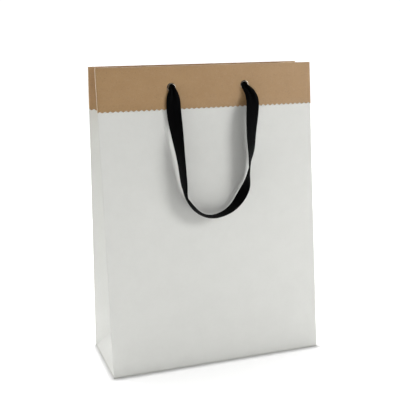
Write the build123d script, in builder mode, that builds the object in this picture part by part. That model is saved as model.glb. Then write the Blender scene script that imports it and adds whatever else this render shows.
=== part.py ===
"""Paper carrier gift bag with a turned-over kraft top edge and two ribbon handles.

Millimetres. +X runs across the front, the front faces -Y, +Z is up, and the origin is
the centre of the base, on the surface that the bag stands on.

The bag stands with its mouth drawn together: each wall leans in from its base crease,
and the gussets fold inwards along their centre creases to take up the spare depth.
"""

import os
from math import acos, asin, cos, degrees, radians, sin

from build123d import *

os.makedirs("parts", exist_ok=True)

# The bag
bag_width = 240.0
base_depth = 96.0
panel_height = 324.0  # up the slope, from the base crease to the top fold
mouth_depth = 36.0  # from front to back across the top, as the bag stands
open_shortfall = 21.0  # what the mouth still lacks of the base's depth, tilted right out
shut_depth = 9.0  # what is left of the mouth, tilted right in
paper = 0.4
base_flap_depth = 63.0
base_tuck_depth = 44.0
base_board_thickness = 1.0
seam_width = 16.0

# The turned-over top edge and the card inside it
cuff_height = 45.0
tooth_pitch = 5.45
tooth_depth = 1.8
top_board_thickness = 0.8
top_board_height = 38.0

# Eyelets, in holes punched through the wall's layers
eyelet_spacing = 82.0
eyelet_drop = 21.5  # below the top fold
eyelet_bore = 3.4  # radius
eyelet_barrel = 3.65  # radius
eyelet_flange = 4.7  # radius
eyelet_sheet = 0.35
hole_clearance = 0.1

# Ribbon handles
ribbon_width = 15.0
ribbon_thickness = 0.7
handle_drop = 138.5  # from the eyelets down to the bottom of the loop
handle_stand_off = 3.0  # from the panel's face out to the ribbon's root
root_clearance = 0.35
knot_width = 12.0
knot_height = 9.0
knot_thickness = 5.0
tail_length = 24.0

# Clearances
layer_gap = 0.05  # between flat sheets that lie on each other
twist_gap = 0.2  # between twisted ones
crease_gap = 0.5  # between sheets that meet at a crease
centre_gap = 0.2  # between the halves of a gusset, at the tightest point of their travel
gusset_inset = 1.4  # from a panel's outer face in to its gussets' hinge lines
board_gap = 3.0  # around the base board


def wall_lean(mouth):
    """The degrees that each wall leans in from upright when the mouth is this deep."""
    return degrees(asin((base_depth - mouth) / 2 / panel_height))


def fold_angle(height, wall_angle):
    """How far a gusset half is turned in from flat across the side, at a height up its wall."""
    return degrees(acos(1 - height * sin(radians(wall_angle)) / gusset_half))


# Values that follow
half_width = bag_width / 2
lean = wall_lean(mouth_depth)
lean_in = sin(radians(lean))
wall_face = top_board_thickness + 2 * layer_gap + paper  # the cuff's outer face
gusset_half = base_depth / 2 - gusset_inset - paper
stack_height = 3 * paper + 2 * layer_gap  # two flaps and a tuck
foot_lean = degrees(acos((1 - lean_in) / cos(radians(lean))))

# The mouth's travel, and the steady turn of a gusset half on its wall that keeps pace with it
opening = lean - wall_lean(base_depth - open_shortfall)
closing = wall_lean(shut_depth) - lean
top_turn = fold_angle(panel_height, lean + closing) - fold_angle(panel_height, lean - opening)
gusset_turn = top_turn / (opening + closing)

flange_back = paper + layer_gap + eyelet_sheet  # depth of an eyelet's inner flange
loop_height = panel_height - eyelet_drop

walls = {
    "front": Plane(
        origin=(0, -base_depth / 2, 0),
        x_dir=(1, 0, 0),
        z_dir=(0, -cos(radians(lean)), lean_in),
    ),
    "back": Plane(
        origin=(0, base_depth / 2, 0),
        x_dir=(-1, 0, 0),
        z_dir=(0, cos(radians(lean)), lean_in),
    ),
}
# Seen from outside, a wall's own +X is its right: the bag's right at the front, and its left at the back.
sides = {"front": {"left": -1, "right": 1}, "back": {"left": 1, "right": -1}}


def save(piece, name):
    """Label a finished piece and write its file."""
    piece.part.label = name
    export_step(piece.part, f"parts/{name}.step")


def pinked_edge(start, end, height):
    """The points of a saw-tooth edge, with its tips at height and its notches above it."""
    teeth = round((end - start) / tooth_pitch)
    step = (end - start) / teeth
    points = []
    for tooth in range(teeth):
        points.append((start + tooth * step, height + tooth_depth))
        points.append((start + (tooth + 0.5) * step, height))
    points.append((end, height + tooth_depth))
    return points


def gusset_reach(height):
    """The width of a gusset half that stays clear of the other half over the whole travel."""
    reach = gusset_half - centre_gap
    for share in (-1.0, -0.5, 0.0, 0.5, 1.0):
        tilt = share * (opening if share > 0 else closing)
        room = base_depth / 2 - height * sin(radians(lean - tilt))
        room -= gusset_inset + paper + centre_gap
        angle = fold_angle(height, lean) - gusset_turn * tilt
        reach = min(reach, room / cos(radians(angle)))
    return min(reach, height - crease_gap)


def gusset_plane(wall, side, height, angle):
    """The section plane of a gusset half: x across the half from its hinge line, y outwards."""
    hinge = wall.from_local_coords((side * half_width, height, -gusset_inset))
    across = wall.z_dir * -cos(radians(angle)) - wall.x_dir * side * sin(radians(angle))
    outwards = wall.z_dir * -sin(radians(angle)) + wall.x_dir * side * cos(radians(angle))
    return Plane(origin=hinge, x_dir=across, z_dir=across.cross(outwards))


# Base: two flaps folded under, the gussets' tucks above them, and a loose card board on top
flap_overlap = base_flap_depth - base_depth / 2
flap_end = half_width - base_flap_depth

with BuildPart() as outer_flap:
    with BuildSketch():
        Polygon(
            (-half_width, -base_depth / 2),
            (half_width, -base_depth / 2),
            (flap_end, flap_overlap),
            (-flap_end, flap_overlap),
            align=None,
        )
    extrude(amount=paper)
save(outer_flap, "base_outer_flap")

step_start = flap_overlap + crease_gap
step_end = step_start + 2 * paper
upper = paper + layer_gap
with BuildPart() as inner_flap:
    with BuildSketch(Plane.YZ):
        Polygon(
            (base_depth / 2, 0),
            (base_depth / 2, paper),
            (step_end, paper),
            (step_start, upper + paper),
            (-flap_overlap, upper + paper),
            (-flap_overlap, upper),
            (step_start, upper),
            (step_end, 0),
            align=None,
        )
    extrude(amount=half_width, both=True)
    with BuildSketch():
        Polygon(
            (-half_width, base_depth / 2),
            (half_width, base_depth / 2),
            (flap_end, -flap_overlap),
            (-flap_end, -flap_overlap),
            align=None,
        )
    extrude(amount=2 * stack_height, mode=Mode.INTERSECT)
save(inner_flap, "base_inner_flap")

tuck_inner = gusset_half - base_tuck_depth
for name, side in (("left", -1), ("right", 1)):
    with BuildPart() as tuck:
        with BuildSketch(Plane.XY.offset(stack_height - paper)):
            Polygon(
                (side * half_width, -gusset_half),
                (side * half_width, gusset_half),
                (side * (half_width - base_tuck_depth), tuck_inner),
                (side * (half_width - base_tuck_depth), -tuck_inner),
                align=None,
            )
        extrude(amount=paper)
    save(tuck, f"{name}_base_tuck")

with BuildPart() as base_board:
    with BuildSketch(Plane.XY.offset(stack_height + layer_gap)):
        RectangleRounded(bag_width - 2 * board_gap, base_depth - 2 * board_gap, 2)
    extrude(amount=base_board_thickness)
save(base_board, "base_board")

# The triangular foot of each gusset, between its two diagonal creases
foot_bottom = stack_height + 2 * crease_gap
foot_top = gusset_half - crease_gap
for name, side in (("left", -1), ("right", 1)):
    foot_plane = Plane(
        origin=(side * (half_width - paper), 0, 0),
        x_dir=(0, side, 0),
        z_dir=(side * cos(radians(foot_lean)), 0, sin(radians(foot_lean))),
    )
    with BuildPart() as foot:
        with BuildSketch(foot_plane):
            Polygon(
                (foot_bottom - foot_top, foot_bottom),
                (foot_top - foot_bottom, foot_bottom),
                (0, foot_top),
                align=None,
            )
        extrude(amount=-paper)
    save(foot, f"{name}_gusset_foot")

# Each wall: a panel, the turned-over edge, the card between them, and what the handle needs
panel_bottom = paper + crease_gap
hole_places = [(-eyelet_spacing / 2, loop_height), (eyelet_spacing / 2, loop_height)]
hole_radius = eyelet_barrel + hole_clearance

for name, wall in walls.items():
    with BuildPart() as panel:
        with BuildSketch(wall):
            with Locations((0, (panel_bottom + panel_height) / 2)):
                Rectangle(bag_width, panel_height - panel_bottom)
            with Locations(*hole_places):
                Circle(hole_radius, mode=Mode.SUBTRACT)
        extrude(amount=-paper)
    save(panel, f"{name}_panel")

    with BuildPart() as top_board:
        with BuildSketch(wall.offset(layer_gap)):
            with Locations((0, panel_height - top_board_height / 2)):
                Rectangle(bag_width - 2 * crease_gap, top_board_height)
            with Locations(*hole_places):
                Circle(hole_radius, mode=Mode.SUBTRACT)
        extrude(amount=top_board_thickness)
    save(top_board, f"{name}_top_board")

    fold_top = panel_height + layer_gap + paper
    teeth = pinked_edge(-half_width, half_width, panel_height - cuff_height)
    with BuildPart() as cuff:
        with BuildSketch(wall.offset(wall_face)):
            with BuildLine():
                Polyline(
                    *teeth,
                    (half_width, fold_top),
                    (-half_width, fold_top),
                    close=True,
                )
            make_face()
            with Locations(*hole_places):
                Circle(hole_radius, mode=Mode.SUBTRACT)
        extrude(amount=-paper)
        with BuildSketch(wall.offset(wall_face)):
            with Locations((0, fold_top - paper / 2)):
                Rectangle(bag_width, paper)
        extrude(amount=-wall_face - paper)
    save(cuff, f"{name}_cuff")

    for side_name, side in sides[name].items():
        hole = wall.from_local_coords((side * eyelet_spacing / 2, loop_height, 0))
        across = Plane(origin=hole, x_dir=wall.x_dir, z_dir=-wall.y_dir)
        face = wall_face + layer_gap
        with BuildPart() as eyelet:
            with BuildSketch(across):
                Polygon(
                    (eyelet_bore, -flange_back),
                    (eyelet_flange, -flange_back),
                    (eyelet_flange, eyelet_sheet - flange_back),
                    (eyelet_barrel, eyelet_sheet - flange_back),
                    (eyelet_barrel, face),
                    (eyelet_flange, face),
                    (eyelet_flange - eyelet_sheet / 2, face + eyelet_sheet),
                    (eyelet_bore, face + eyelet_sheet),
                    align=None,
                )
            revolve(axis=Axis(hole, wall.z_dir))
        save(eyelet, f"{name}_{side_name}_eyelet")

        # The ribbon's end: gathered through the eyelet, knotted inside, with a short tail
        knot_front = -flange_back - layer_gap
        knot_middle = knot_front - knot_thickness / 2
        through_width = 1.6 * eyelet_bore
        through_thickness = 2 * ribbon_thickness
        root_face = handle_stand_off - ribbon_thickness / 2 - root_clearance
        with BuildPart() as knot:
            with BuildSketch(wall.offset(knot_front)):
                with Locations((side * eyelet_spacing / 2, loop_height)):
                    RectangleRounded(knot_width, knot_height, knot_height / 3)
            extrude(amount=-knot_thickness)
            fillet(knot.faces().filter_by(GeomType.PLANE).edges(), knot_thickness / 3)
            with BuildSketch(wall.offset(root_face)):
                with Locations((side * eyelet_spacing / 2, loop_height)):
                    Rectangle(through_width, through_thickness)
            extrude(amount=knot_middle - root_face)
            with BuildSketch(wall.offset(knot_middle)):
                with Locations((side * eyelet_spacing / 2, loop_height - tail_length / 2)):
                    Rectangle(0.8 * ribbon_width, tail_length)
            extrude(amount=-ribbon_thickness)
        save(knot, f"{name}_{side_name}_knot")

# The glued seam: a strip of the sheet that laps inside the back panel
seam_bottom = foot_bottom + crease_gap
seam_top = panel_height - cuff_height - 2 * crease_gap
seam_edge = -half_width + 2 * crease_gap
with BuildPart() as seam:
    with BuildSketch(walls["back"].offset(-paper - layer_gap)):
        with Locations((seam_edge + seam_width / 2, (seam_bottom + seam_top) / 2)):
            Rectangle(seam_width, seam_top - seam_bottom)
    extrude(amount=-paper / 2)
save(seam, "seam_flap")

# Gusset halves: each is hinged on a wall's side edge, and twists from flat at the base
# to folded well in at the mouth
cuff_bottom = panel_height - cuff_height
cuff_heights = [cuff_bottom, panel_height - cuff_height / 2, panel_height]
gusset_heights = [
    0.15 * gusset_half,
    0.5 * gusset_half,
    gusset_half,
    0.3 * cuff_bottom,
    0.55 * cuff_bottom,
    0.8 * cuff_bottom,
    *cuff_heights,
]

for name, wall in walls.items():
    for side_name, side in sides[name].items():
        with BuildPart() as gusset:
            for height in gusset_heights:
                reach = gusset_reach(height)
                with BuildSketch(gusset_plane(wall, side, height, fold_angle(height, lean))):
                    with Locations(((crease_gap + reach) / 2, -paper / 2)):
                        Rectangle(reach - crease_gap, paper)
            loft(ruled=True)
        save(gusset, f"{name}_{side_name}_gusset")

        edge = gusset_plane(wall, side, cuff_bottom, fold_angle(cuff_bottom, lean))
        reach = gusset_reach(cuff_bottom)
        edge_plane = Plane(origin=edge.origin, x_dir=edge.x_dir, z_dir=edge.y_dir)
        up = 1 if edge_plane.y_dir.dot(wall.y_dir) > 0 else -1
        teeth = [(x, up * y) for x, y in pinked_edge(0, reach, 0)]
        with BuildPart() as gusset_cuff:
            for height in cuff_heights:
                reach = gusset_reach(height)
                with BuildSketch(gusset_plane(wall, side, height, fold_angle(height, lean))):
                    with Locations(((crease_gap + reach) / 2, twist_gap + paper / 2)):
                        Rectangle(reach - crease_gap, paper)
            loft(ruled=True)
            with BuildSketch(edge_plane):
                with BuildLine():
                    Polyline(
                        *teeth,
                        (teeth[-1][0], -up * tooth_depth),
                        (teeth[0][0], -up * tooth_depth),
                        close=True,
                    )
                make_face()
            extrude(amount=2 * tooth_depth, both=True, mode=Mode.SUBTRACT)
        save(gusset_cuff, f"{name}_{side_name}_gusset_cuff")

# Ribbon stations from the left eyelet round to the right one, chosen by hand: across as a
# share of half the spacing, down as a share of the drop, how far its nearer edge floats off
# the wall in mm, how far its width is turned about its length in degrees (180 lies flat on
# the wall, 90 stands out from it), and its width as a share of the full width.
ribbon_stations = [
    (-0.98, 0.012, 3.0, 180, 0.40),
    (-0.975, 0.045, 3.4, 177, 0.70),
    (-0.985, 0.10, 3.2, 172, 1.00),
    (-0.995, 0.16, 2.8, 165, 1.00),
    (-0.988, 0.22, 2.6, 155, 1.00),
    (-0.966, 0.34, 3.2, 131, 1.00),
    (-0.936, 0.45, 3.8, 115, 1.00),
    (-0.897, 0.57, 3.7, 104, 1.00),
    (-0.87, 0.665, 3.2, 101, 1.00),
    (-0.85, 0.745, 2.8, 98, 1.00),
    (-0.816, 0.818, 2.4, 81, 1.00),
    (-0.72, 0.881, 2.0, 66, 1.00),
    (-0.557, 0.938, 1.8, 70, 1.00),
    (-0.362, 0.983, 1.6, 80, 1.00),
    (-0.13, 1.001, 1.6, 85, 1.00),
    (0.11, 0.993, 1.6, 86, 1.00),
    (0.355, 0.966, 1.7, 82, 1.00),
    (0.56, 0.918, 1.9, 75, 1.00),
    (0.732, 0.853, 2.1, 66, 1.00),
    (0.86, 0.788, 2.1, 75, 1.00),
    (0.917, 0.727, 2.2, 96, 1.00),
    (0.953, 0.666, 2.8, 108, 1.00),
    (0.973, 0.605, 3.9, 118, 1.00),
    (1.018, 0.535, 5.4, 132, 1.00),
    (1.037, 0.474, 6.8, 144, 1.00),
    (1.028, 0.383, 8.5, 151, 1.00),
    (1.066, 0.272, 10.2, 165, 1.00),
    (1.119, 0.171, 9.7, 174, 1.00),
    (1.156, 0.11, 7.3, 176, 1.00),
    (1.10, 0.05, 5.3, 176, 0.72),
    (0.99, 0.012, 3.0, 180, 0.40),
]

for name, wall in walls.items():
    places = []
    for across, down, float_off, turn, share in ribbon_stations:
        x = across * eyelet_spacing / 2
        out = float_off + share * ribbon_width / 2 * sin(radians(turn))
        places.append(wall.from_local_coords((x, loop_height - down * handle_drop, out)))
    with BuildPart() as handle:
        for index, (across, down, float_off, turn, share) in enumerate(ribbon_stations):
            before = places[max(index - 1, 0)]
            after = places[min(index + 1, len(places) - 1)]
            along = (after - before).normalized()
            outer_side = along.cross(wall.z_dir).normalized()
            standing = outer_side.cross(along)
            width_line = outer_side * cos(radians(turn)) + standing * sin(radians(turn))
            section = Plane(origin=places[index], x_dir=width_line, z_dir=along)
            with BuildSketch(section):
                Rectangle(share * ribbon_width, ribbon_thickness)
        loft(ruled=True)
    save(handle, f"{name}_handle")
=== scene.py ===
"""Paper carrier gift bag: white outside and kraft inside, with its top edge turned over
and pinked, and two black ribbon handles knotted through nickel eyelets.

Metres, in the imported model's frame: the front faces -Y and the bag stands on z = 0.
"""

from math import asin, cos, pi, radians, sin

import bpy
import numpy as np
from mathutils import Matrix, Vector


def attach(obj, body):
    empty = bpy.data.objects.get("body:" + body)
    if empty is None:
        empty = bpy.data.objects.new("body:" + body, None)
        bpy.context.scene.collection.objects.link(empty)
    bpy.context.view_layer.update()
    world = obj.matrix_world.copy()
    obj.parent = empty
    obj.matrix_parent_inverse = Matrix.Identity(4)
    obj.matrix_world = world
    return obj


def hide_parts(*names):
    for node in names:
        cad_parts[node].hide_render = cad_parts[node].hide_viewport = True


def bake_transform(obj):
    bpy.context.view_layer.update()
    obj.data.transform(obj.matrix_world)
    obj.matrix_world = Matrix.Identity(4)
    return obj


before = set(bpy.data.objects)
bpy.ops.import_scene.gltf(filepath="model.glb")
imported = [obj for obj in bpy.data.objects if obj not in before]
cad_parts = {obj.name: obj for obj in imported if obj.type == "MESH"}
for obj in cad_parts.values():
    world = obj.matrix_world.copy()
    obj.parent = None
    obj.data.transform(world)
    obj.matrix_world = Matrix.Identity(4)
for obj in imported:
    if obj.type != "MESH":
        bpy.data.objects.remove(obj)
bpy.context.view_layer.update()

# --- Camera ----------------------------------------------------------------------------
# A long lens at table height, a little to the left of the bag and above it.
aim = Vector((-0.004, 0.0, 0.174))
distance, yaw, pitch, roll = 0.841, radians(19.1), radians(12.5), radians(-0.86)
backwards = Vector((-sin(yaw) * cos(pitch), -cos(yaw) * cos(pitch), sin(pitch)))
level = Vector((0, 0, 1)).cross(backwards).normalized()
upright = backwards.cross(level)
right = level * cos(roll) + upright * sin(roll)
camera_data = bpy.data.cameras.new("camera")
camera_data.lens = 67.8
camera_data.sensor_width = 36
camera_data.clip_end = 50
camera = bpy.data.objects.new("camera", camera_data)
turn_in = Matrix((right, backwards.cross(right), backwards)).transposed()
camera.matrix_world = Matrix.Translation(aim + backwards * distance) @ turn_in.to_4x4()
bpy.context.scene.collection.objects.link(camera)
bpy.context.scene.camera = camera


# --- Wall panels -----------------------------------------------------------------------
# The front and back of the carrier are one sheet of stout paper, white outside and bare
# kraft inside. Each leans in from its base crease, and bends round onto its gussets.
width, depth, slope, mouth_depth = 0.240, 0.096, 0.324, 0.036
lean = asin((depth - mouth_depth) / 2 / slope)
cuff_low = 0.2790  # how far up a wall its turned-over edge's teeth reach down to
paper = 0.0004
hinge_in = 0.0014  # from a panel's face in to its gussets' hinge lines
eyelet_across, eyelet_up = 0.041, 0.3025
hole, hole_square, redrawn = 0.00375, 0.0026, 0.008  # half sizes, round an eyelet's centre
corner_steps = 8  # lines in a sheet's bend from a wall round onto its gusset
diagonal = 1.0141  # along a gusset half to the foot's diagonal crease, for each metre up


def node(tree, kind, **settings):
    """Adds a shader node, and sets its sockets and properties by name."""
    made = tree.nodes.new(kind)
    for name, value in settings.items():
        socket = made.inputs.get(name.replace("_", " "))
        if socket is not None:
            socket.default_value = value
        else:
            setattr(made, name, value)
    return made


def blended(tree, low, high, share):
    """Mixes two colours, or a colour socket and a colour, by a share from 0 to 1."""
    mix = tree.nodes.new("ShaderNodeMix")
    mix.data_type = "RGBA"
    for place, value in ((6, low), (7, high), (0, share)):
        if isinstance(value, bpy.types.NodeSocket):
            tree.links.new(value, mix.inputs[place])
        else:
            mix.inputs[place].default_value = value
    return mix.outputs[2]


def sums(tree, operation, first, second=0.0):
    """One step of arithmetic between sockets or numbers."""
    step = tree.nodes.new("ShaderNodeMath")
    step.operation = operation
    for place, value in enumerate((first, second)):
        if isinstance(value, bpy.types.NodeSocket):
            tree.links.new(value, step.inputs[place])
        else:
            step.inputs[place].default_value = value
    return step.outputs[0]


def ramp(tree, value, start, end, low=0.0, high=1.0):
    """Carries a value from between start and end to between low and high, smoothly."""
    carry = node(tree, "ShaderNodeMapRange", interpolation_type="SMOOTHSTEP")
    limits = {"From Min": start, "From Max": end, "To Min": low, "To Max": high}
    for name, number in limits.items():
        carry.inputs[name].default_value = number
    tree.links.new(value, carry.inputs["Value"])
    return carry.outputs["Result"]


def paper_finish(name, pale, dark, fibre, fleck, fibres=0.5, flecks=0.5, grain=0.00005, wear_and_highlight_tone=None,
                 rough=0.55):
    """Uncoated paper: clouds of pulp between two tones, with curled fibres where a bent
    noise crosses its middle value, flecks at another's peaks, and a fine felt surface."""
    made = bpy.data.materials.new(name)
    made.use_nodes = True
    tree = made.node_tree
    shader = tree.nodes["Principled BSDF"]
    place = node(tree, "ShaderNodeTexCoord").outputs["Object"]

    def noise(scale, detail, bend=0.0):
        made_noise = node(tree, "ShaderNodeTexNoise", Scale=scale, Detail=detail, Distortion=bend)
        tree.links.new(place, made_noise.inputs["Vector"])
        return made_noise.outputs["Fac"]

    clouds = ramp(tree, noise(60, 8), 0.3, 0.7)
    tone = blended(tree, pale, dark, clouds)
    curl = sums(tree, "ABSOLUTE", sums(tree, "SUBTRACT", noise(600, 2, 1.8), 0.5))
    strand = ramp(tree, curl, 0.0, 0.022, 1.0, 0.0)
    broken = sums(tree, "MULTIPLY", strand, ramp(tree, noise(240, 3), 0.40, 0.62, 0.0, fibres))
    tone = blended(tree, tone, fibre, broken)
    specks = sums(tree, "MULTIPLY", ramp(tree, noise(1150, 1), 0.63, 0.72), flecks)
    tone = blended(tree, tone, fleck, specks)
    # Where the wear attribute is high the tone turns pale: partly wear on the kraft, partly a
    # painted highlight along its creases.
    if wear_and_highlight_tone is not None:
        wear_and_highlight_mask = node(tree, "ShaderNodeAttribute", attribute_name="wear").outputs["Fac"]
        ragged_wear_and_highlight = sums(tree, "ADD", wear_and_highlight_mask, sums(tree, "MULTIPLY", noise(520, 3), 0.4))
        tone = blended(tree, tone, wear_and_highlight_tone, ramp(tree, ragged_wear_and_highlight, 0.5, 1.0))
    tree.links.new(tone, shader.inputs["Base Color"])
    shader.inputs["Roughness"].default_value = rough
    shader.inputs["Specular IOR Level"].default_value = 0.5
    felt = sums(tree, "ADD", noise(1900, 5), sums(tree, "MULTIPLY", broken, 0.5))
    bump = node(tree, "ShaderNodeBump", Strength=0.55, Distance=grain)
    tree.links.new(felt, bump.inputs["Height"])
    tree.links.new(bump.outputs["Normal"], shader.inputs["Normal"])
    return made


white_paper = paper_finish(
    "white paper", (0.775, 0.78, 0.745, 1), (0.76, 0.765, 0.73, 1),
    (0.70, 0.685, 0.655, 1), (0.66, 0.63, 0.58, 1), 0.4, 0.12, 0.00003,
)
# The kraft's pale tone for its creases is partly wear and partly a painted highlight.
kraft = paper_finish(
    "kraft paper", (0.447, 0.276, 0.129, 1), (0.426, 0.260, 0.119, 1),
    (0.58, 0.42, 0.28, 1), (0.23, 0.135, 0.07, 1), 0.6, 0.5, 0.00006, (0.72, 0.58, 0.42, 1), 0.42,
)
paper_edge = paper_finish(
    "paper edge", (0.66, 0.53, 0.40, 1), (0.60, 0.47, 0.34, 1),
    (0.72, 0.62, 0.50, 1), (0.35, 0.24, 0.15, 1), 0.3, 0.3, 0.00004,
)


def wall_place(turned, across, up, out):
    """Points of a wall, from how far they lie across it, up its slope and out of its face.

    The front wall's are (across, -depth/2 + up sin - out cos, up cos + out sin) at its
    lean. The back wall's are the same turned half round, so turned is 1 or -1.
    """
    y = -depth / 2 + up * sin(lean) - out * cos(lean)
    z = up * cos(lean) + out * sin(lean)
    return np.stack(np.broadcast_arrays(turned * across, turned * y, z), -1)


def paper_sheet(name, outer, inner, finishes, kept=None, weave=None, wear=None):
    """A closed sheet between two grids of points of one shape, a few rows by columns.

    Cells of the outer grid become quads, the inner ones turned over, and each edge that
    only one outer quad has is joined across to the inner grid, round rims and holes.
    """
    rows, columns = outer.shape[:2]
    count = rows * columns
    ids = np.arange(count).reshape(rows, columns)
    quads = np.stack([ids[:-1, :-1], ids[:-1, 1:], ids[1:, 1:], ids[1:, :-1]], -1)
    along, upward = outer[:-1, 1:] - outer[:-1, :-1], outer[1:, :-1] - outer[:-1, :-1]
    if (np.cross(along, upward) * (outer - inner)[:-1, :-1]).sum() < 0:
        quads = quads[..., ::-1]
    quads = quads.reshape(-1, 4) if kept is None else quads[kept]
    edges = np.stack([quads, np.roll(quads, -1, 1)], -1).reshape(-1, 2)
    one_sided = ~np.isin(edges[:, 1] * count + edges[:, 0], edges[:, 0] * count + edges[:, 1])
    a, b = edges[one_sided].T
    rim = np.stack([b, a, a + count, b + count], -1)
    faces = np.concatenate([quads, quads[:, ::-1] + count, rim])
    used, faces = np.unique(faces, return_inverse=True)
    points = np.concatenate([outer.reshape(-1, 3), inner.reshape(-1, 3)])[used]
    faces = faces.reshape(-1, 4)
    mesh = bpy.data.meshes.new(name)
    mesh.from_pydata(points.tolist(), [], faces.tolist())
    finish = np.repeat([0, 1, 2], [len(quads), len(quads), len(rim)])
    for material in finishes:
        mesh.materials.append(material)
    mesh.polygons.foreach_set("material_index", np.minimum(finish, len(finishes) - 1))
    if weave is not None:
        flat = np.concatenate([weave.reshape(-1, 2)] * 2)[used]
        layer = mesh.uv_layers.new(name="weave")
        layer.data.foreach_set("uv", flat[faces.ravel()].astype(np.float32).ravel())
    # The wear attribute marks where kraft is pale with wear and where a highlight is painted along
    # its creases.
    if wear is not None:
        wear_and_highlight_mask = np.concatenate([np.broadcast_to(wear, (rows, columns)).ravel()] * 2)[used]
        spot = mesh.attributes.new("wear", "FLOAT", "POINT")
        spot.data.foreach_set("value", wear_and_highlight_mask.astype(np.float32))
    mesh.shade_smooth()
    mesh.set_sharp_from_angle(angle=radians(40))
    piece = bpy.data.objects.new(name, mesh)
    bpy.context.scene.collection.objects.link(piece)
    return piece


def fold_angle(up):
    """How far a gusset half is turned in from flat across the side: the angle whose cosine
    falls from 1 as its wall leans in, and steady over the foot, which is flat."""
    half = depth / 2 - hinge_in - paper
    return np.arccos(1 - np.maximum(up, half) * sin(lean) / half)


def gusset_place(side, up, along, off):
    """Points of a gusset half: along it from its hinge line, and off its outer face.

    In its wall's own terms, across is half the width - along sin + off cos of the fold,
    and out is -hinge_in - along cos - off sin.
    """
    turn = fold_angle(up)
    across = width / 2 - along * np.sin(turn) + off * np.cos(turn)
    out = -hinge_in - along * np.cos(turn) - off * np.sin(turn)
    return across * side, out


def corner(side, up, edge, out, reach, off):
    """Across and out of a sheet's bend, from a wall's face round onto its gusset.

    A cubic curve that leaves the face square and arrives along the gusset: the first two
    of its four points are on the face's line, and the last two on the gusset's.
    """
    t = np.linspace(0, 1, corner_steps + 1)[1:]
    end_across, end_out = gusset_place(1, up, reach, off)
    near_across, near_out = gusset_place(1, up, reach - 2.0 * edge, off)
    points_across = (width / 2 - edge, width / 2 + 0.4 * edge, near_across, end_across)
    points_out = (out, out, near_out, end_out)
    shares = ((1 - t) ** 3, 3 * t * (1 - t) ** 2, 3 * t**2 * (1 - t), t**3)
    across = sum(p * s for p, s in zip(points_across, shares))
    return side * across, sum(p * s for p, s in zip(points_out, shares))


def round_hole(across, up):
    """Draws a grid's lines in round each eyelet's hole: a square that reaches 2.6 mm each
    way becomes the hole's circle, fading out to a square that reaches 8 mm each way."""
    across, up = np.broadcast_arrays(across, up)
    across, up = across.copy(), up.copy()
    for centre in (-eyelet_across, eyelet_across):
        dx, dy = across - centre, up - eyelet_up
        square = np.maximum(abs(dx), abs(dy))
        near = (square > hole_square - 0.0001) & (square < redrawn)
        share = np.clip((square - hole_square) / (redrawn - hole_square), 0, 1)
        stretch = (1 - share) * hole / np.maximum(np.hypot(dx, dy), 1e-6) + share
        across = np.where(near, centre + dx * stretch, across)
        up = np.where(near, eyelet_up + dy * stretch, up)
    return across, up


def open_cells(across, up):
    """Which cells of a grid stay: those whose middle isn't in an eyelet's hole."""
    middle_across = (across[:-1, :-1] + across[1:, 1:]) / 2
    middle_up = (up[:-1, :-1] + up[1:, 1:]) / 2
    away = np.minimum(abs(middle_across - eyelet_across), abs(middle_across + eyelet_across))
    return np.maximum(away, abs(middle_up - eyelet_up)) > hole_square


def bow(across, up):
    """How far a standing panel bellies out: half a millimetre in the middle, nothing at
    its creases, with a slow ripple that the paper's grain leaves in it."""
    x, v = across / (width / 2), up / cuff_low
    belly = (1 - x**2) * np.sin(pi * np.clip(v, 0, 1))
    ripple = np.sin(3.1 * x + 1.2 + 2.0 * v) * np.sin(5.3 * v + 0.7 * x)
    return belly * (0.00045 + 0.00018 * ripple)


# A wall's grid, in mm: its lines are close together round the eyelets and at the base.
marks = [0, 52, 56, 58, 60, 64, 112, 116, 118, 120, 124, 176]
lines = [-120, -49, -43.6, -41, -38.4, -33, 33, 38.4, 41, 43.6, 49, 120]
columns = np.interp(np.arange(177), marks, lines) / 1000
up_marks = [0, 3, 6, 60, 63, 67, 71, 75, 79]
up_lines = [0.05, 0.6, 1.5, 288.5, 294.5, 299.9, 305.1, 310.5, 322.6]
panel_rows = np.interp(np.arange(80), up_marks, up_lines)[:, None] / 1000

panel_bend = 0.0013  # how far a panel's bend reaches along the gusset

for wall, turned in (("front", 1), ("back", -1)):
    edge = 0.0009  # where the bend starts, in from the panel's side
    across = columns * (width / 2 - edge) / (width / 2)
    across, up = round_hole(across[None, :], panel_rows)
    whole = open_cells(*np.broadcast_arrays(columns[None, :], panel_rows))
    under = -0.0010 * np.clip(1 - panel_rows / 0.0015, 0, 1) ** 2
    faces = []
    for layer in (0.0, paper):
        face = bow(across, up) + under - layer
        left, left_out = corner(-1, panel_rows, edge, under - layer, panel_bend, -layer)
        right_side, right_out = corner(1, panel_rows, edge, under - layer, panel_bend, -layer)
        rows = np.broadcast_to(panel_rows, left.shape)
        faces.append(
            wall_place(
                turned,
                np.concatenate([left[:, ::-1], across, right_side], 1),
                np.concatenate([rows, up, rows], 1),
                np.concatenate([left_out[:, ::-1], face, right_out], 1),
            )
        )
    kept = np.pad(whole, ((0, 0), (corner_steps, corner_steps)), constant_values=True)
    panel = paper_sheet(f"{wall}_panel_sheet", *faces, [white_paper, kraft, paper_edge], kept)
    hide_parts(f"{wall}_panel")
    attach(panel, f"{wall}_wall")


# --- Gussets ---------------------------------------------------------------------------
# Each side is folded in along its middle. A half hangs from its wall's side crease, and
# below it the triangular foot joins both halves along creases at 45 degrees.
def crease_reach(up, off):
    """How far along a gusset half its layer meets the other half, at the bag's middle, or
    the foot's diagonal crease if that comes first."""
    turn = fold_angle(up)
    middle = (depth / 2 - up * sin(lean)) / cos(lean) - hinge_in - off * np.sin(turn)
    return np.minimum(middle / np.cos(turn), diagonal * up)


foot_height = depth / 2 - hinge_in - paper
low_rows = np.linspace(0.0012, foot_height, 22)
gusset_rows = np.concatenate([low_rows, np.linspace(foot_height, 0.3226, 64)[1:]])[:, None]
share = np.linspace(0, 1, 25)[None, :]

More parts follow.
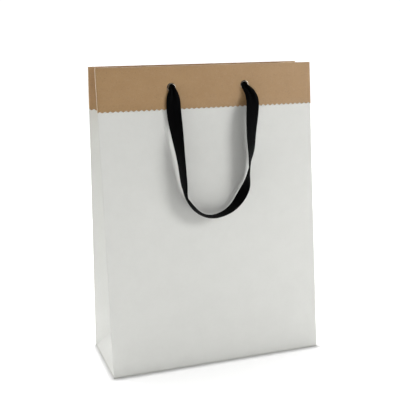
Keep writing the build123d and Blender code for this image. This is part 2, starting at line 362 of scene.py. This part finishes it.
for wall, turned in (("front", 1), ("back", -1)):
    for side_name, side in (("left", -turned), ("right", turned)):
        faces = []
        for layer in (0.0, paper):
            far = crease_reach(gusset_rows, -layer)
            near = np.minimum(0.0008, 0.4 * far)
            along = near + (far - near) * share
            soft = -0.0005 * np.sin(pi * share) * np.clip(gusset_rows / foot_height - 1, 0, 1)
            across, out = gusset_place(side, gusset_rows, along, soft - layer)
            faces.append(wall_place(turned, across, gusset_rows + 0 * along, out))
        name = f"{wall}_{side_name}_gusset"
        gusset = paper_sheet(f"{name}_sheet", *faces, [white_paper, kraft, paper_edge])
        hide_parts(name)
        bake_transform(gusset)

foot_rows = np.linspace(0.0010, foot_height - 0.0001, 24)[:, None]
for side_name, side in (("left", -1), ("right", 1)):
    faces = []
    for layer in (0.0, paper):
        across, out = gusset_place(side, foot_rows, diagonal * foot_rows, -layer)
        front = wall_place(1, across, foot_rows, out)
        back = front * [1, -1, 1]
        faces.append(front + (back - front) * np.linspace(0, 1, 25)[None, :, None])
    foot = paper_sheet(f"{side_name}_foot_sheet", *faces, [white_paper, kraft, paper_edge])
    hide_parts(f"{side_name}_gusset_foot")
    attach(foot, f"{side_name}_foot")


# --- Turned-over edge ------------------------------------------------------------------
# The sheet's top is folded outwards over a strip of card, so its kraft side shows, and
# its lower edge is pinked into saw teeth that stand a little off the panel.
cuff_top, tooth_depth, teeth = 0.3240, 0.0018, 44
first_tooth = 0.0007  # how far the teeth are shifted along the sheet
cuff_bend = 0.0036  # length of the sheet's bend from a wall round onto its gusset
cuff_face, gusset_cuff_face = 0.0013, 0.0006
# Rows of the outer leg, in mm up from the teeth, close together round the eyelets.
outer_leg = np.interp(
    np.arange(28), [0, 6, 9, 13, 17, 21, 26, 27], [0, 9.5, 15.5, 20.9, 26.1, 31.5, 44.2, 45]
)
bend = np.linspace(0, pi, 9)


def cuff_profile(layer, middle, half, edge_up):
    """Up and off of a turned-over edge, from its teeth over the fold to its inner lip.

    The outer leg stands half the fold's thickness out from its middle, the fold is half
    an ellipse, and the lip runs 1.4 mm down the inside.
    """
    rise = 0.0006 - layer
    leg = edge_up + (cuff_top - edge_up) * (outer_leg / 45)[:, None]
    over = cuff_top + rise * np.sin(bend)[1:-1, None] + 0 * edge_up
    lip = cuff_top - np.linspace(0, 0.0014, 4)[:, None] + 0 * edge_up
    up = np.concatenate([leg, over, lip])
    turn = np.concatenate([0 * outer_leg, bend[1:-1], np.full(4, pi)])[:, None]
    return up, middle + (half - layer) * np.cos(turn)


def lift(up, place):
    """How far the pinked edge curls off the panel: nothing 9 mm up, and over half a
    millimetre at the tips, more in some stretches than in others."""
    share = np.clip(1 - (up - cuff_low) / 0.009, 0, 1)
    return share**2 * (0.00065 + 0.0002 * np.sin(61 * place) * np.sin(23 * place + 1.0))


def teeth_line(place):
    """The saw-tooth lower edge: tips at the cuff's foot and notches above it."""
    phase = place * teeth / width
    return cuff_low + tooth_depth * abs(2 * (phase - np.floor(phase + 0.5)))


for wall, turned in (("front", 1), ("back", -1)):
    edge = 0.0011
    middle, half = (cuff_face - paper) / 2, (cuff_face + paper) / 2
    across = columns * (width / 2 - edge) / (width / 2)
    even = np.linspace(-1, 1, 177) * (width / 2 - edge)
    faces = []
    for layer in (0.0, paper):
        saw = teeth_line(even + width / 2 + first_tooth)[None, :]
        square_up, out = cuff_profile(layer, middle, half, saw)
        drawn = np.clip((square_up - 0.281) / 0.009, 0, 1)  # even at the teeth, as across above
        flat, up = round_hole(even + (across - even) * drawn, square_up)
        out = out + lift(up, flat)
        sides = []
        for side in (-1, 1):
            ring = np.linspace(0, cuff_bend, corner_steps + 1)[None, 1:]
            saw = teeth_line(side * (width / 2 - edge + ring) + width / 2 + first_tooth)
            rim_up, rim_out = cuff_profile(layer, middle, half, saw)
            off = cuff_profile(layer, 0.0001, 0.0005, saw)[1]
            bent, bent_out = corner(side, rim_up, edge, rim_out, 0.0018, off)
            sides.append((bent, rim_up, bent_out + 0 * rim_up))
        (left, left_up, left_out), (right_side, right_up, right_out) = sides
        faces.append(
            wall_place(
                turned,
                np.concatenate([left[:, ::-1], flat, right_side], 1),
                np.concatenate([left_up[:, ::-1], up, right_up], 1),
                np.concatenate([left_out[:, ::-1], out, right_out], 1),
            )
        )
    leg_cells = open_cells(columns[None, :] + 0 * square_up, square_up)
    leg_cells[len(outer_leg) - 1 :] = True
    kept = np.pad(leg_cells, ((0, 0), (corner_steps, corner_steps)), constant_values=True)
    # The kraft is pale along both corners and along the top fold, partly with wear and partly with
    # a painted highlight on these creases.
    t = np.arange(1, corner_steps + 1) / corner_steps
    crease_wear_and_highlight = np.exp(-(((t - 0.5) / 0.25) ** 2))
    corner_wear_and_highlight = np.concatenate([crease_wear_and_highlight[::-1], np.zeros(len(columns)), crease_wear_and_highlight])[None, :]
    from_fold = (np.arange(len(square_up)) - len(outer_leg) - 3)[:, None]
    wear = np.maximum(corner_wear_and_highlight, 0.7 * np.exp(-((from_fold / 2.6) ** 2)))
    finishes = [kraft, white_paper, paper_edge]
    cuff = paper_sheet(f"{wall}_cuff_fold", *faces, finishes, kept, wear=wear)
    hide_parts(f"{wall}_cuff")
    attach(cuff, f"{wall}_wall")

    for side_name, side in (("left", -turned), ("right", turned)):
        faces = []
        for layer in (0.0, paper):
            share = np.linspace(0, 1, 33)[None, :]
            start = 0.0012  # how far along the gusset its part of the fold begins
            reach = crease_reach(cuff_low, gusset_cuff_face)
            saw = teeth_line(width + side * (reach * share + cuff_bend))
            up, off = cuff_profile(layer, 0.0001, 0.0005, saw)
            far = crease_reach(up, off)
            along = start + (far - start) * share
            across, out = gusset_place(side, up, along, off + lift(up, along))
            faces.append(wall_place(turned, across, up, out))
        name = f"{wall}_{side_name}_gusset_cuff"
        fold = paper_sheet(f"{name}_fold", *faces, finishes)
        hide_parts(name)
        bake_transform(fold)


# --- Eyelets ---------------------------------------------------------------------------
# Small nickel-plated eyelets, pressed through the wall's layers and rolled over on both
# faces, so that each shows a narrow rounded ring.
nickel = bpy.data.materials.new("nickel plate")
nickel.use_nodes = True
metal = nickel.node_tree.nodes["Principled BSDF"]
metal.inputs["Metallic"].default_value = 1.0
# The plate's colour is darker and warmer than bare nickel, a painted reflection of the kraft round
# it.
metal.inputs["Base Color"].default_value = (0.40, 0.355, 0.29, 1)
place = node(nickel.node_tree, "ShaderNodeTexCoord").outputs["Object"]
wear = node(nickel.node_tree, "ShaderNodeTexNoise", Scale=900, Detail=4)
nickel.node_tree.links.new(place, wear.inputs["Vector"])
rough = ramp(nickel.node_tree, wear.outputs["Fac"], 0.35, 0.7, 0.10, 0.22)
nickel.node_tree.links.new(rough, metal.inputs["Roughness"])

roll_angle = np.linspace(pi, 0, 9)
back_angle = np.linspace(0, -pi, 7)
ring_radius = np.concatenate(
    [4.05 + 0.64 * np.cos(roll_angle), [3.60, 3.60], 4.05 + 0.60 * np.cos(back_angle)]
)
ring_out = np.concatenate(
    [1.33 + 0.46 * np.sin(roll_angle), [1.34, -0.44], -0.44 + 0.35 * np.sin(back_angle)]
)


def turned_ring(name, turned, side, radius, out):
    """A closed ring: a closed profile of radius and out, carried round the eyelet's axis."""
    angle = np.linspace(0, 2 * pi, 48, endpoint=False)[:, None]
    across = side * eyelet_across + radius / 1000 * np.cos(angle)
    up = eyelet_up + radius / 1000 * np.sin(angle)
    points = wall_place(turned, across, up, out / 1000 + 0 * angle)
    ids = np.arange(points[..., 0].size).reshape(across.shape)
    after, beside = np.roll(ids, -1, 0), np.roll(ids, -1, 1)
    both = np.roll(after, -1, 1)
    mesh = bpy.data.meshes.new(name)
    quads = np.stack([ids, beside, both, after], -1).reshape(-1, 4)
    mesh.from_pydata(points.reshape(-1, 3).tolist(), [], quads.tolist())
    mesh.materials.append(nickel)
    mesh.shade_smooth()
    mesh.set_sharp_from_angle(angle=radians(50))
    ring = bpy.data.objects.new(name, mesh)
    bpy.context.scene.collection.objects.link(ring)
    return ring


for wall, turned in (("front", 1), ("back", -1)):
    for side_name, side in (("left", -1), ("right", 1)):
        end_name = side_name if turned == 1 else {"left": "right", "right": "left"}[side_name]
        eyelet = turned_ring(f"{wall}_{end_name}_eyelet_ring", turned, side, ring_radius, ring_out)
        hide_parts(f"{wall}_{end_name}_eyelet")
        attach(eyelet, f"{wall}_wall")


# --- Ribbon handles --------------------------------------------------------------------
# Black woven ribbon, 15 mm wide and 0.7 mm thick. Each loop comes out of one
# eyelet gathered in pleats, turns on edge on its way down, and goes back in at the other.
ribbon_width, ribbon_thickness, drop = 0.015, 0.0007, 0.1385
ribbon = bpy.data.materials.new("black ribbon")
ribbon.use_nodes = True
tree = ribbon.node_tree
cloth = tree.nodes["Principled BSDF"]
weave_map = node(tree, "ShaderNodeUVMap", uv_map="weave")
threads = node(tree, "ShaderNodeSeparateXYZ")
tree.links.new(weave_map.outputs["UV"], threads.inputs["Vector"])
ribbon_scale = 0.45  # metres of ribbon to the map's unit
twill_turns, rib_turns = (2 * pi * ribbon_scale / pitch for pitch in (0.0011, 0.00042))
slant = sums(tree, "ADD", threads.outputs["Y"], sums(tree, "MULTIPLY", threads.outputs["X"], 0.8))
twill = sums(tree, "SINE", sums(tree, "MULTIPLY", slant, twill_turns))
rib = sums(tree, "SINE", sums(tree, "MULTIPLY", threads.outputs["Y"], rib_turns))
weave_height = sums(tree, "ADD", twill, sums(tree, "MULTIPLY", rib, 0.5))
bump = node(tree, "ShaderNodeBump", Strength=0.7, Distance=0.00008)
tree.links.new(weave_height, bump.inputs["Height"])
tree.links.new(bump.outputs["Normal"], cloth.inputs["Normal"])
# Painted shade in the weave's hollows and painted highlight on its threads, following the twill
# that also drives the bump.
shaded_hollow_tone, lit_thread_tone = (0.0006, 0.0006, 0.0008, 1), (0.0022, 0.0023, 0.0026, 1)
tone = blended(tree, shaded_hollow_tone, lit_thread_tone, ramp(tree, twill, -0.6, 1.0))
tree.links.new(tone, cloth.inputs["Base Color"])
cloth.inputs["Roughness"].default_value = 0.62
cloth.inputs["Specular IOR Level"].default_value = 0.03
cloth.inputs["Sheen Weight"].default_value = 0.02
cloth.inputs["Sheen Roughness"].default_value = 0.45
cloth.inputs["Sheen Tint"].default_value = (0.75, 0.82, 0.9, 1)

# Stations from the left eyelet round to the right one: across as a share of half the
# spacing, down as a share of the drop, how far its nearer edge floats off the wall in mm,
# its turn about its length (180 flat on the wall, 90 standing out), its share of width.
stations = np.array([
    (-0.98, 0.012, 3.0, 180, 0.50),
    (-0.975, 0.045, 3.4, 177, 0.78),
    (-0.985, 0.10, 3.2, 172, 1.00),
    (-0.995, 0.16, 2.8, 165, 1.00),
    (-0.988, 0.22, 2.6, 155, 1.00),
    (-0.966, 0.34, 3.2, 131, 1.00),
    (-0.936, 0.45, 3.8, 115, 1.00),
    (-0.897, 0.57, 3.7, 104, 1.00),
    (-0.87, 0.665, 3.2, 101, 1.00),
    (-0.85, 0.745, 2.8, 98, 1.00),
    (-0.816, 0.818, 2.4, 81, 1.00),
    (-0.72, 0.881, 2.0, 66, 1.00),
    (-0.557, 0.938, 1.8, 70, 1.00),
    (-0.362, 0.983, 1.6, 80, 1.00),
    (-0.13, 1.001, 1.6, 85, 1.00),
    (0.11, 0.993, 1.6, 86, 1.00),
    (0.355, 0.966, 1.7, 82, 1.00),
    (0.56, 0.918, 1.9, 75, 1.00),
    (0.732, 0.853, 2.1, 66, 1.00),
    (0.86, 0.788, 2.1, 75, 1.00),
    (0.917, 0.727, 2.2, 96, 1.00),
    (0.953, 0.666, 2.8, 108, 1.00),
    (0.973, 0.605, 3.9, 118, 1.00),
    (1.018, 0.535, 5.4, 132, 1.00),
    (1.037, 0.474, 6.8, 144, 1.00),
    (1.028, 0.383, 8.5, 151, 1.00),
    (1.066, 0.272, 10.2, 165, 1.00),
    (1.119, 0.171, 9.7, 174, 1.00),
    (1.156, 0.11, 7.3, 176, 1.00),
    (1.10, 0.05, 5.3, 176, 0.76),
    (0.99, 0.012, 3.0, 180, 0.46),
])


def unit(vectors):
    """Vectors brought to a length of one."""
    return vectors / np.maximum(np.linalg.norm(vectors, axis=-1, keepdims=True), 1e-9)


def smooth_run(points, count):
    """A uniform cubic B-spline along rows of numbers, its ends held by repeating them.

    Each point is the sum of four neighbours, weighed (1-f)^3, 3f^3-6f^2+4,
    -3f^3+3f^2+3f+1 and f^3, all over six.
    """
    held = np.concatenate([points[:1]] * 2 + [points] + [points[-1:]] * 2)
    t = np.linspace(0, len(held) - 3.000001, count)
    first = t.astype(int)
    f = (t - first)[:, None]
    weights = ((1 - f) ** 3, 3 * f**3 - 6 * f**2 + 4, -3 * f**3 + 3 * f**2 + 3 * f + 1, f**3)
    return sum(w * held[first + k] for k, w in enumerate(weights)) / 6


def ribbon_grids(path, sideways, share, pleats, cup, count, strips):
    """The two faces of a ribbon along a path in a wall's terms of across, up and out.

    A point lies share * width * (v - 1/2) along the width line, and its pleats stand off
    it as a sine whose slope takes up the width that the gathering hides. The middle of
    the ribbon is cupped by a parabola. Also gives each point's place on the flat ribbon.
    """
    run = smooth_run(np.column_stack([path, sideways, share, pleats, cup]), count)
    centre, spread, narrow, folds, bulge = np.split(run, [3, 6, 7, 8], axis=1)
    along = unit(np.gradient(centre, axis=0))
    spread = unit(spread - (spread * along).sum(1, keepdims=True) * along)
    normal = np.cross(along, spread)
    v = np.linspace(-0.5, 0.5, strips)[None, :]
    hidden = 1 / np.maximum(narrow, 0.2)
    slope = np.sqrt(np.maximum(2 * (hidden**2 - 1), 0))
    wave = slope * narrow * ribbon_width / (2 * pi * np.maximum(folds, 0.5))
    stand = wave * -np.cos(2 * pi * folds * v) + bulge * ribbon_width * (0.25 - v**2) * narrow
    flat = narrow * ribbon_width * v
    middle = centre[:, None] + spread[:, None] * flat[..., None]
    middle = middle + normal[:, None] * stand[..., None]
    rows, cols = np.gradient(middle, axis=0), np.gradient(middle, axis=1)
    face = unit(np.cross(rows, cols))
    steps = np.linalg.norm(np.diff(centre, axis=0), axis=1)
    run_length = np.concatenate([[0], np.cumsum(steps)])
    weave_across = 0.05 + ribbon_width * v / ribbon_scale
    weave_along = run_length[:, None] / ribbon_scale
    weave = np.stack(np.broadcast_arrays(weave_across, weave_along), -1)
    thick = face * ribbon_thickness / 2
    return middle + thick, middle - thick, weave, run_length[-1]


across, down, float_off, turn, share = stations.T
turn = np.radians(turn)
path = np.stack(
    [
        across * eyelet_across,
        eyelet_up - down * drop,
        float_off / 1000 + share * ribbon_width / 2 * np.sin(turn),
    ],
    -1,
)
along = unit(np.gradient(path, axis=0))
outwards = np.array([0, 0, 1.0])
outer_side = unit(np.cross(along, outwards))
standing = np.cross(outer_side, along)
sideways = outer_side * np.cos(turn)[:, None] + standing * np.sin(turn)[:, None]
# A stub at each end passes in through the eyelet. One crease is pinched into each leg.
stub = np.array([
    (0, 5.4, -2.6), (0, 2.8, -2.0), (0, 0.7, -0.4), (0, 0.6, 1.2), (0, -0.4, 2.6),
]) / 1000
left_stub = stub + [-eyelet_across, eyelet_up, 0]
right_stub = stub[::-1] + [eyelet_across, eyelet_up, 0]
path = np.concatenate([left_stub, path, right_stub])
sideways = np.concatenate([[(1, 0, 0)] * len(stub), sideways, [(-1, 0, 0)] * len(stub)])
share = np.pad(share, len(stub), constant_values=0.44)
pleats = np.full(len(share), 2.0)
pinch_down = np.where(across < 0, 0.83, 0.64)
pinch = np.where(across < 0, 0.5, 0.25) * np.exp(-(((down - pinch_down) / 0.05) ** 2))
cup = np.pad(0.10 + pinch, len(stub), constant_values=0.10)

for wall, turned in (("front", 1), ("back", -1)):
    outer, inner, weave, loop_length = ribbon_grids(path, sideways, share, pleats, cup, 420, 37)
    outer, inner = (wall_place(turned, *np.moveaxis(face, -1, 0)) for face in (outer, inner))
    handle = paper_sheet(f"{wall}_handle_ribbon", outer, inner, [ribbon], weave=weave)
    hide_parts(f"{wall}_handle")
    pivot = wall_place(turned, 0, eyelet_up, 0.003)
    low = wall_place(turned, 0, eyelet_up - 0.012, 0.003)
    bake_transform(handle)


# --- Knots -----------------------------------------------------------------------------
# Behind each eyelet the gathered ribbon is tied in an overhand knot, which holds it, and
# its cut end hangs below.
knot_path = np.array([
    (0.0, 0.0, -1.2), (0.2, 0.2, -2.2), (2.6, 1.6, -2.4), (4.6, 0.6, -3.6), (3.6, -2.6, -4.8),
    (0.0, -3.4, -5.0), (-3.6, -2.4, -4.6), (-4.8, 0.8, -3.6), (-2.4, 3.0, -2.6), (1.0, 2.6, -3.4),
    (2.0, 0.2, -5.2), (0.6, -2.2, -3.4), (0.0, -4.6, -2.6), (0.0, -9.0, -2.8), (0.2, -15.0, -3.0),
    (0.6, -21.0, -3.3), (0.8, -27.0, -3.8),
]) / 1000
knot_share = np.array([.34, .34, .32, .3, .3, .3, .3, .3, .32, .3, .28, .3, .36, .6, .78, .86, .9])
for wall, turned in (("front", 1), ("back", -1)):
    for end_name, side in (("left", -turned), ("right", turned)):
        path_here = knot_path * [side, 1, 1] + [side * eyelet_across, eyelet_up, 0]
        along = unit(np.gradient(path_here, axis=0))
        guide = np.tile([0.0, 0.15, 1.0], (len(path_here), 1))
        guide[-6:] = [0, 0.0, 1.0]  # the cut end hangs flat
        spread = unit(np.cross(along, guide))
        outer, inner, weave, _ = ribbon_grids(
            path_here, spread, knot_share, 0 * knot_share + 2.0, 0 * knot_share + 0.05, 150, 25
        )
        outer, inner = (wall_place(turned, *np.moveaxis(face, -1, 0)) for face in (outer, inner))
        knot = paper_sheet(f"{wall}_{end_name}_knot_ribbon", outer, inner, [ribbon], weave=weave)
        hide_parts(f"{wall}_{end_name}_knot")
        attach(knot, f"{wall}_wall")


# --- Card and base ---------------------------------------------------------------------
# Grey card stiffens both top edges and lies loose in the base. The base's flaps are the
# carrier's own paper, folded under and glued.
grey_card = paper_finish(
    "grey card", (0.36, 0.34, 0.30, 1), (0.28, 0.265, 0.235, 1),
    (0.52, 0.50, 0.46, 1), (0.12, 0.11, 0.10, 1), 0.7, 0.6, 0.00007,
)
own_finish = {
    "base_outer_flap": white_paper,
    "base_inner_flap": white_paper,
    "left_base_tuck": white_paper,
    "right_base_tuck": white_paper,
    "base_board": grey_card,
    "front_top_board": grey_card,
    "back_top_board": grey_card,
    "seam_flap": kraft,
}
for name, finish in own_finish.items():
    for material_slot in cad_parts[name].material_slots:
        material_slot.material = finish


# --- Floor and light -------------------------------------------------------------------
# A plain white floor that glows a little, under a surround that is bright behind the bag.
# One large soft lamp is to the camera's right, a weak one to its left, and a broad one
# behind and above, which also lights the floor.
floor_mesh = bpy.data.meshes.new("floor")
floor_mesh.from_pydata([(-9, -9, 0), (9, -9, 0), (9, 9, 0), (-9, 9, 0)], [], [(0, 1, 2, 3)])
floor = bpy.data.objects.new("floor", floor_mesh)
floor.location = (0, 0, -0.0002)
floor_finish = bpy.data.materials.new("floor")
floor_finish.use_nodes = True
tree = floor_finish.node_tree
paint = tree.nodes["Principled BSDF"]
paint.inputs["Base Color"].default_value = (0.9, 0.9, 0.9, 1)
paint.inputs["Roughness"].default_value = 0.9
ground = node(tree, "ShaderNodeSeparateXYZ")
tree.links.new(node(tree, "ShaderNodeTexCoord").outputs["Object"], ground.inputs["Vector"])
beside = sums(tree, "SUBTRACT", sums(tree, "ABSOLUTE", ground.outputs["X"]), width / 2)
before = sums(tree, "SUBTRACT", sums(tree, "ABSOLUTE", ground.outputs["Y"]), depth / 2)
beyond = sums(tree, "MAXIMUM", beside, before)
# The glow is painted light. It is held off within 9 mm of the bag's footprint, which leaves a
# darker band round the base, and fades out between 0.3 and 0.75 m in front of the bag.
near_glow = ramp(tree, beyond, 0.0, 0.009, 0.0, 0.5)
far_glow = ramp(tree, beyond, 0.05, 0.8, 0.0, 0.3)
not_in_front = ramp(tree, ground.outputs["Y"], -0.75, -0.3)
lit_from_below = sums(tree, "MULTIPLY", sums(tree, "ADD", near_glow, far_glow), not_in_front)
paint.inputs["Emission Color"].default_value = (1, 1, 1, 1)
tree.links.new(lit_from_below, paint.inputs["Emission Strength"])
floor_mesh.materials.append(floor_finish)
bpy.context.scene.collection.objects.link(floor)

world = bpy.data.worlds.new("surround")
world.use_nodes = True
sky = world.node_tree
direction = node(sky, "ShaderNodeTexCoord").outputs["Generated"]
apart = node(sky, "ShaderNodeSeparateXYZ")
sky.links.new(direction, apart.inputs["Vector"])
behind = ramp(sky, apart.outputs["Y"], -0.1, 0.75)
glow = blended(sky, (0.09, 0.09, 0.09, 1), (1.08, 1.08, 1.08, 1), behind)
sky.links.new(glow, sky.nodes["Background"].inputs["Color"])
bpy.context.scene.world = world
bpy.context.scene.view_settings.view_transform = "Standard"


def lamp(name, place, size, power):
    """A square soft lamp that looks at the bag's middle."""
    light = bpy.data.lights.new(name, "AREA")
    light.size = size
    light.energy = power
    made = bpy.data.objects.new(name, light)
    made.location = place
    made.rotation_euler = (Vector((0, 0, 0.16)) - Vector(place)).to_track_quat("-Z", "Y").to_euler()
    bpy.context.scene.collection.objects.link(made)


lamp("key lamp", (1.15, -1.10, 0.78), 0.6, 11.9)
lamp("fill lamp", (-1.3, -0.35, 0.85), 0.8, 1.2)
lamp("floor lamp", (0.0, 0.9, 1.5), 1.8, 32)
